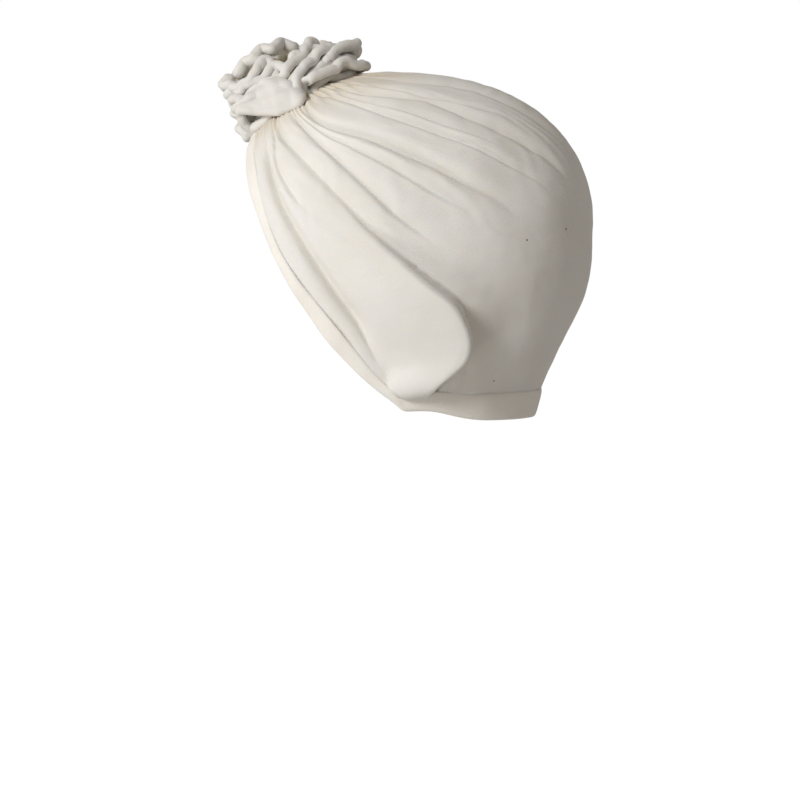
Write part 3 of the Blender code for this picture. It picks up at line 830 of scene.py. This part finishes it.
# What a value goes from and to, and the shares of the other colour that it gives there:
# uneven patches, the depth of creases in mm for their painted shade, and how strong the
# painted warm shade of a depth is.
PATCH_SHARES = (0.32, 0.72, 0.0, 0.5)
CREASE_SHADE_SHARES = (0.5, 4.5, 0.0, 0.7)
WARM_SHADE_SHARES = (0.0, 1.0, 0.0, 0.85)
PATCHES = {"Scale": 38.0, "Detail": 3.0, "Roughness": 0.6}
FLUFF = {"Scale": 2200.0, "Detail": 2.0}
RIB_PITCH = 0.85 * MM
RIB_BUMP = {"Strength": 0.4, "Distance": 0.08 * MM}
FLUFF_BUMP = {"Strength": 0.25, "Distance": 0.12 * MM}
SPECK_COLOUR = (0.10, 0.09, 0.08)
SPECK_STRENGTH, SPECK_CORE = 0.8, 0.5
# Small dark specks on the crown: x, y, z and radius, in mm.
SPECKS = (
    (60.0, 57.8, -79.8, 0.7),
    (45.2, 76.5, -74.6, 0.75),
    (48.9, 43.3, -144.5, 0.55),
)


class Finish:
    """A new material, and the ways to add nodes to it and join them."""

    def __init__(self, name):
        self.material = bpy.data.materials.new(name)
        self.material.use_nodes = True
        self.nodes, self.links = self.material.node_tree.nodes, self.material.node_tree.links
        self.shader = self.nodes["Principled BSDF"]

    def add(self, kind, settings):
        node = self.nodes.new(kind)
        for key, value in settings.items():
            node.inputs[key].default_value = value
        return node

    def attribute(self, name):
        node = self.nodes.new("ShaderNodeAttribute")
        node.attribute_name = name
        return node.outputs["Fac"]

    def noise(self, place, settings):
        node = self.add("ShaderNodeTexNoise", settings)
        self.links.new(place, node.inputs["Vector"])
        return node.outputs["Fac"]

    def bump(self, height, settings):
        node = self.add("ShaderNodeBump", settings)
        self.links.new(height, node.inputs["Height"])
        return node

    def maths(self, operation, first, second=None):
        """One step of arithmetic on an output and an output or a number."""
        node = self.nodes.new("ShaderNodeMath")
        node.operation = operation
        self.links.new(first, node.inputs[0])
        if isinstance(second, float):
            node.inputs[1].default_value = second
        elif second is not None:
            self.links.new(second, node.inputs[1])
        return node.outputs["Value"]

    def blend(self, factor, first, second):
        """One colour over another. Each is a colour or an output."""
        node = self.nodes.new("ShaderNodeMix")
        node.data_type = "RGBA"
        for value, socket in ((first, "A"), (second, "B")):
            if isinstance(value, tuple):
                node.inputs[socket].default_value = (*value, 1)
            else:
                self.links.new(value, node.inputs[socket])
        self.links.new(factor, node.inputs["Factor"])
        return node.outputs["Result"]

    def scaled(self, value, low, high, least, most):
        """The value that goes from least to most as another goes from low to high."""
        settings = {"From Min": low, "From Max": high, "To Min": least, "To Max": most}
        node = self.add("ShaderNodeMapRange", settings)
        self.links.new(value, node.inputs["Value"])
        return node.outputs["Result"]

    def spot(self, place, centre, radius):
        """Strong in the core of a small ball, and nothing outside the ball."""
        away = self.nodes.new("ShaderNodeVectorMath")
        away.operation = "DISTANCE"
        away.inputs[1].default_value = centre
        self.links.new(place, away.inputs[0])
        core = SPECK_CORE * radius
        return self.scaled(away.outputs["Value"], core, radius, SPECK_STRENGTH, 0.0)


# The depth colour is the painted warm shade that the gathers value blends in.
def jersey(name, colour, shade, depth, specks=()):
    """Matt stretch jersey, with ribs by grain, painted shade by crease and painted warm shade by
    gathers.
    """
    finish = Finish(name)
    for key, value in CLOTH.items():
        finish.shader.inputs[key].default_value = value
    place = finish.nodes.new("ShaderNodeTexCoord").outputs["Object"]
    patches = finish.scaled(finish.noise(place, PATCHES), *PATCH_SHARES)
    # Painted shade: darker by the depth of the creases, and a painted warm shade by the gathers
    # value.
    crease_shade = finish.scaled(finish.attribute("crease"), *CREASE_SHADE_SHARES)
    warm_shade_share = finish.scaled(finish.attribute("gathers"), *WARM_SHADE_SHARES)
    paint = finish.blend(patches, colour, shade)
    paint = finish.blend(crease_shade, paint, shade)
    paint = finish.blend(warm_shade_share, paint, depth)
    soil = None
    for x, y, z, radius in specks:
        spot = finish.spot(place, (x * MM, y * MM, z * MM), radius * MM)
        soil = spot if soil is None else finish.maths("MAXIMUM", soil, spot)
    if soil is not None:
        paint = finish.blend(soil, paint, SPECK_COLOUR)
    turns = finish.maths("MULTIPLY", finish.attribute("grain"), 2 * np.pi / RIB_PITCH)
    ribs = finish.bump(finish.maths("SINE", turns), RIB_BUMP)
    fluff = finish.bump(finish.noise(place, FLUFF), FLUFF_BUMP)
    finish.links.new(ribs.outputs["Normal"], fluff.inputs["Normal"])
    finish.links.new(fluff.outputs["Normal"], finish.shader.inputs["Normal"])
    finish.links.new(paint, finish.shader.inputs["Base Color"])
    return finish.material


def dress(piece, material, slot, *nodes):
    """Puts a finished piece on the part in place of its plain solids."""
    piece.data.materials.append(material)
    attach(piece, BODY)
    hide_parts(*nodes)


crown_jersey = jersey("crown_jersey", CREAM, SHADED_CREAM, GATHER_PAINTED_SHADE, SPECKS)
band_jersey = jersey("band_jersey", BAND_BRIGHTENED_CREAM, SHADED_CREAM, GATHER_PAINTED_SHADE)
ruffle_jersey = jersey("ruffle_jersey", RUFFLE_CREAM, RUFFLE_SHADE, RUFFLE_PAINTED_DEPTH_SHADE)
crown = crown_piece()
dress(crown, crown_jersey, "crown_jersey", "crown")
band = band_piece()
dress(band, band_jersey, "band_jersey", "edge_band")
for row in ROWS:
    ruffle = ruffle_piece(row)
    node = row.name.replace("under_", "").replace("bud", "heart")
    dress(ruffle, ruffle_jersey, "ruffle_jersey", "ruffle_" + node)

# The studio: a pale floor, a large soft key from the wearer's front left, and a weak
# fill from below the floor's level.
FLOOR_LEVEL = -0.33
LAMP_AIM = (0, 0, -0.07)
Lamp = namedtuple("Lamp", "name place size watts colour")
LAMPS = (
    Lamp("key", (1.296, -1.087, 0.546), 0.6, 21, (1.0, 0.99, 0.98)),
    Lamp("low_fill", (1.043, -1.043, -1.1), 0.6, 6, (1.0, 0.985, 0.965)),
)
CAMERA_PLACE, CAMERA_AIM = (1.2, 0, -0.09), (0, 0, -0.156)
LENS, SENSOR = 112.5, 36


def studio():
    """The floor, and air that is bright to the camera and dim to the cloth."""
    bpy.ops.mesh.primitive_plane_add(size=30, location=(0, 0, FLOOR_LEVEL))
    floor = bpy.context.object
    floor.name = "studio_floor"
    paint = bpy.data.materials.new("pale_floor")
    paint.use_nodes = True
    shader = paint.node_tree.nodes["Principled BSDF"]
    shader.inputs["Base Color"].default_value = (0.4, 0.4, 0.4, 1)
    shader.inputs["Roughness"].default_value = 0.9
    shader.inputs["Emission Color"].default_value = (1, 1, 1, 1)
    shader.inputs["Emission Strength"].default_value = 0.88
    floor.data.materials.append(paint)
    floor.visible_diffuse = False
    floor.visible_shadow = False
    world = bpy.data.worlds.new("studio_air")
    world.use_nodes = True
    nodes, links = world.node_tree.nodes, world.node_tree.links
    air = nodes["Background"]
    air.inputs["Color"].default_value = (1.0, 0.94, 0.87, 1)
    air.inputs["Strength"].default_value = 0.32
    bright = nodes.new("ShaderNodeBackground")
    bright.inputs["Color"].default_value = (1, 1, 1, 1)
    bright.inputs["Strength"].default_value = 1.0
    path = nodes.new("ShaderNodeLightPath")
    choice = nodes.new("ShaderNodeMixShader")
    links.new(path.outputs["Is Camera Ray"], choice.inputs["Fac"])
    links.new(air.outputs["Background"], choice.inputs[1])
    links.new(bright.outputs["Background"], choice.inputs[2])
    links.new(choice.outputs["Shader"], nodes["World Output"].inputs["Surface"])
    bpy.context.scene.world = world


def set_up(name, data, place, aim):
    """Puts a lamp or a camera at a place, turned towards its aim."""
    holder = bpy.data.objects.new(name, data)
    holder.location = place
    holder.rotation_euler = (Vector(aim) - Vector(place)).to_track_quat("-Z", "Y").to_euler()
    bpy.context.scene.collection.objects.link(holder)
    return holder


def soft_light(lamp):
    """A round soft lamp of the table."""
    light = bpy.data.lights.new(lamp.name, "AREA")
    light.shape = "DISK"
    light.size = lamp.size
    light.energy = lamp.watts
    light.color = lamp.colour
    set_up(lamp.name, light, lamp.place, LAMP_AIM)


def camera():
    """The camera, square from the wearer's left."""
    lens = bpy.data.cameras.new("camera")
    lens.lens = LENS
    lens.sensor_width = SENSOR
    bpy.context.scene.camera = set_up("camera", lens, CAMERA_PLACE, CAMERA_AIM)


studio()
for lamp in LAMPS:
    soft_light(lamp)
camera()
bpy.context.scene.view_settings.view_transform = "Standard"
